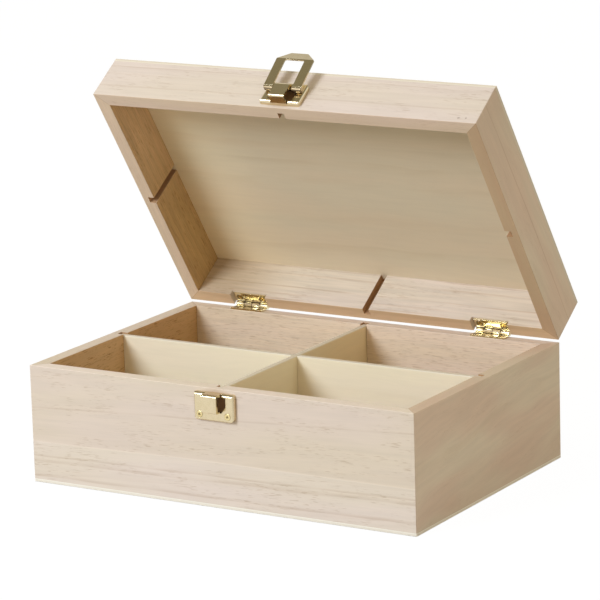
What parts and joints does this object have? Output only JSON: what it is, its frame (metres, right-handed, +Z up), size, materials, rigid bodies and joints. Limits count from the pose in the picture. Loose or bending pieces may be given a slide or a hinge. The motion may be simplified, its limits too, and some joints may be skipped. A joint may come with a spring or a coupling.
{
  "type": "tea bag organizer box",
  "caption": "Mitred wooden tea box with a hinged lid, crossing lift-out dividers, mortised brass butt hinges and a brass bail latch; drawn with the lid part open.",
  "frame": {"origin": "centre of the underside of the base", "axes": "+X to the right along the front, +Y from the front to the hinged back, +Z up"},
  "size_m": [0.24, 0.1957, 0.2302],
  "materials": {
    "rail_wood": "bare sanded solid wood",
    "panel_ply": "bare sanded plywood",
    "divider_ply": "bare thin plywood",
    "hinge_brass": "plated satin",
    "screw_brass": "plated satin",
    "latch_brass": "plated, lightly polished"
  },
  "bodies": {
    "base": {"base_front_rail": "rail_wood", "base_right_rail": "rail_wood", "base_back_rail": "rail_wood", "base_left_rail": "rail_wood", "bottom_panel": "panel_ply", "left_hinge_base_leaf": "hinge_brass", "left_hinge_pin": "hinge_brass", "right_hinge_base_leaf": "hinge_brass", "right_hinge_pin": "hinge_brass", "base_hinge_screws": "screw_brass", "catch_plate": "latch_brass", "catch_plate_screws": "screw_brass"},
    "lid": {"lid_front_rail": "rail_wood", "lid_right_rail": "rail_wood", "lid_back_rail": "rail_wood", "lid_left_rail": "rail_wood", "top_panel": "panel_ply", "left_hinge_lid_leaf": "hinge_brass", "right_hinge_lid_leaf": "hinge_brass", "lid_hinge_screws": "screw_brass", "bail_plate": "latch_brass", "bail_plate_screws": "screw_brass"},
    "long_divider": {"long_divider": "divider_ply"},
    "cross_divider": {"cross_divider": "divider_ply"},
    "pivot_wire": {"bail_pivot_wire": "latch_brass"},
    "bail": {"bail": "latch_brass"}
  },
  "joints": [
    {"name": "lid_hinge", "type": "hinge", "parent": "base", "child": "lid", "pos_m": [0, 0.0831, 0.0677], "axis": [-1, 0, 0], "range_deg": [-56, 124]},
    {"name": "wire_slide", "type": "slide", "parent": "lid", "child": "pivot_wire", "axis": [0, 0.829, 0.5592], "range_m": [-0.0053, 0]},
    {"name": "bail_swing", "type": "hinge", "parent": "pivot_wire", "child": "bail", "pos_m": [0, -0.00478, 0.21408], "axis": [-1, 0, 0], "range_deg": [-173, 20]},
    {"name": "long_divider_lift", "type": "slide", "parent": "base", "child": "long_divider", "axis": [0, 0, 1], "range_m": [0, 0.045]},
    {"name": "cross_divider_lift", "type": "slide", "parent": "long_divider", "child": "cross_divider", "axis": [0, 0, 1], "range_m": [0, 0.045]}
  ]
}
